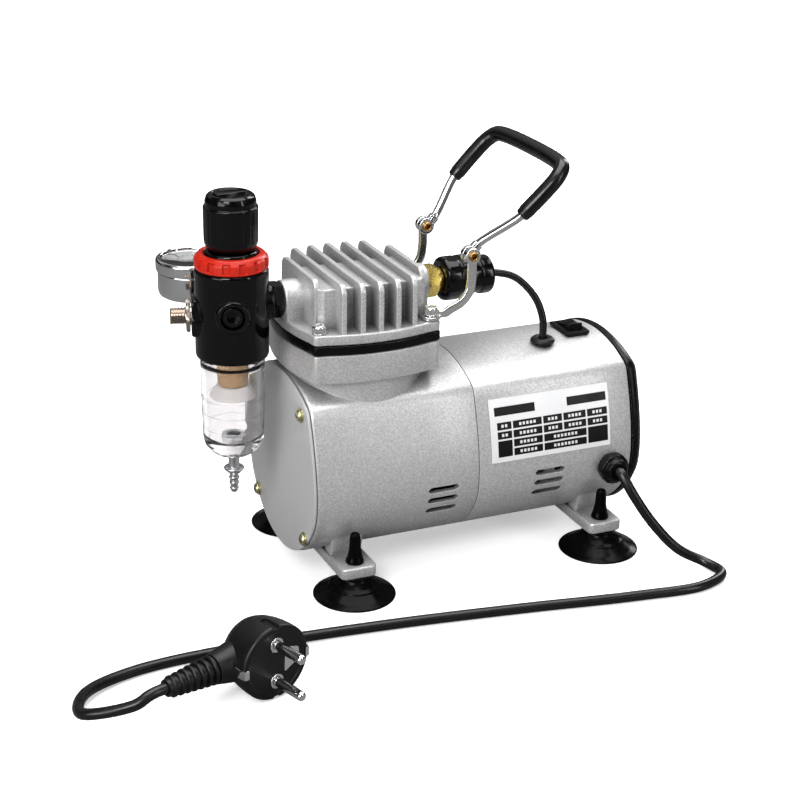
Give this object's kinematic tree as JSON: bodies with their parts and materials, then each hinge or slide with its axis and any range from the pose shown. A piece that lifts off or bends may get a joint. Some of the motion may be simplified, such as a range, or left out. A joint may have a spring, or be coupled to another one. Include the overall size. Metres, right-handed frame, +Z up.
{
  "type": "airbrush compressor",
  "caption": "Small silver piston air compressor for airbrushes: finned head, filter regulator with red collar and clear bowl, gauge, folding handle, rocker switch, suction feet, mains cord.",
  "frame": {"origin": "floor level, middle of the whole footprint (machine, cord and plug)", "axes": "+Z up, +X along the motor shaft towards the mains-switch end of the housing, -Y the side that carries the rating plate"},
  "size_m": [0.357, 0.215, 0.2188],
  "materials": {
    "silver_paint": "satin",
    "cover_paint": "satin",
    "black_plastic": "matte",
    "black_gloss": "gloss",
    "black_rubber": "matte",
    "red_plastic": "satin",
    "white_plastic": "satin",
    "clear_plastic": "gloss",
    "chrome": "polished",
    "steel": "satin",
    "brass": "satin",
    "bronze": "matte",
    "yellow_zinc": "satin",
    "aluminium": "satin"
  },
  "bodies": {
    "machine": {"front_housing": "silver_paint", "rear_housing": "silver_paint", "cylinder_head": "silver_paint", "front_cover": "cover_paint", "cover_screw_1": "yellow_zinc", "cover_screw_2": "yellow_zinc", "cover_screw_3": "yellow_zinc", "cover_screw_4": "yellow_zinc", "rear_cover": "black_plastic", "valve_plate": "black_plastic", "pressure_switch": "black_plastic", "rocker_frame": "black_plastic", "cable_gland": "black_plastic", "regulator_body": "black_gloss", "inlet_nipple": "black_gloss", "foot_1": "black_rubber", "foot_2": "black_rubber", "foot_3": "black_rubber", "foot_4": "black_rubber", "switch_lead": "black_rubber", "lead_grommet": "black_rubber", "mains_cord": "black_rubber", "plug_body": "black_rubber", "baffle_disc": "white_plastic", "gauge_dial": "white_plastic", "rating_plate": "white_plastic", "gauge_lens": "clear_plastic", "head_bolt_1": "chrome", "head_bolt_2": "chrome", "head_bolt_3": "chrome", "head_bolt_4": "chrome", "gauge_case": "chrome", "plug_pin_1": "chrome", "plug_pin_2": "chrome", "handle_bracket_near": "chrome", "handle_bracket_far": "chrome", "port_plug": "steel", "outlet_fitting": "steel", "motor_stator": "steel", "front_bearing": "steel", "rear_bearing": "steel", "brass_fitting": "brass", "hinge_screw_near": "brass", "hinge_screw_far": "brass", "filter_element": "bronze", "cylinder_liner": "aluminium"},
    "handle": {"handle_bar": "chrome", "handle_grip": "black_rubber"},
    "knob": {"regulator_knob": "black_gloss"},
    "spindle": {"adjusting_spindle": "steel"},
    "collar": {"collar_nut": "red_plastic"},
    "needle": {"gauge_needle": "black_plastic"},
    "rocker": {"rocker_button": "black_plastic"},
    "bowl": {"filter_bowl": "clear_plastic", "drain_boss": "steel"},
    "drain": {"drain_valve": "steel"},
    "rotor": {"rotor_shaft": "steel", "cooling_fan": "black_plastic"},
    "rod": {"connecting_rod": "aluminium"},
    "piston": {"piston": "aluminium"}
  },
  "joints": [
    {"name": "handle_fold", "type": "hinge", "parent": "machine", "child": "handle", "pos_m": [0.05783, 0.04, 0.1696], "axis": [0, 1, 0], "range_deg": [-130, 44]},
    {"name": "spindle_turn", "type": "hinge", "parent": "machine", "child": "spindle", "pos_m": [-0.05997, 0.04, 0.18], "axis": [0, 0, 1], "range_deg": [0, 900]},
    {"name": "knob_lift", "type": "slide", "parent": "spindle", "child": "knob", "axis": [0, 0, 1], "range_m": [0, 0.003]},
    {"name": "collar_turn", "type": "hinge", "parent": "machine", "child": "collar", "pos_m": [-0.05997, 0.04, 0.172], "axis": [0, 0, 1], "range_deg": [0, 360]},
    {"name": "needle_turn", "type": "hinge", "parent": "machine", "child": "needle", "pos_m": [-0.06547, 0.0875, 0.156], "axis": [0, 0, -1], "range_deg": [0, 270]},
    {"name": "rocker_tilt", "type": "hinge", "parent": "machine", "child": "rocker", "pos_m": [0.13353, 0.04, 0.1105], "axis": [1, 0, 0], "range_deg": [0, 16]},
    {"name": "bowl_twist", "type": "hinge", "parent": "machine", "child": "bowl", "pos_m": [-0.05997, 0.04, 0.11], "axis": [0, 0, 1], "range_deg": [0, 360]},
    {"name": "drain_push", "type": "slide", "parent": "bowl", "child": "drain", "axis": [0, 0, 1], "range_m": [0, 0.0025]},
    {"name": "motor_spin", "type": "hinge", "parent": "machine", "child": "rotor", "pos_m": [0.06053, 0.04, 0.0618], "axis": [1, 0, 0], "continuous": true},
    {"name": "crank_swing", "type": "hinge", "parent": "rotor", "child": "rod", "pos_m": [0.00503, 0.04, 0.0688], "axis": [1, 0, 0], "continuous": true},
    {"name": "piston_stroke", "type": "slide", "parent": "machine", "child": "piston", "axis": [0, 0, 1], "range_m": [-0.014, 0]}
  ],
  "couplings": [
    {"joint": "crank_swing", "follows": "motor_spin", "ratio": -1}
  ]
}
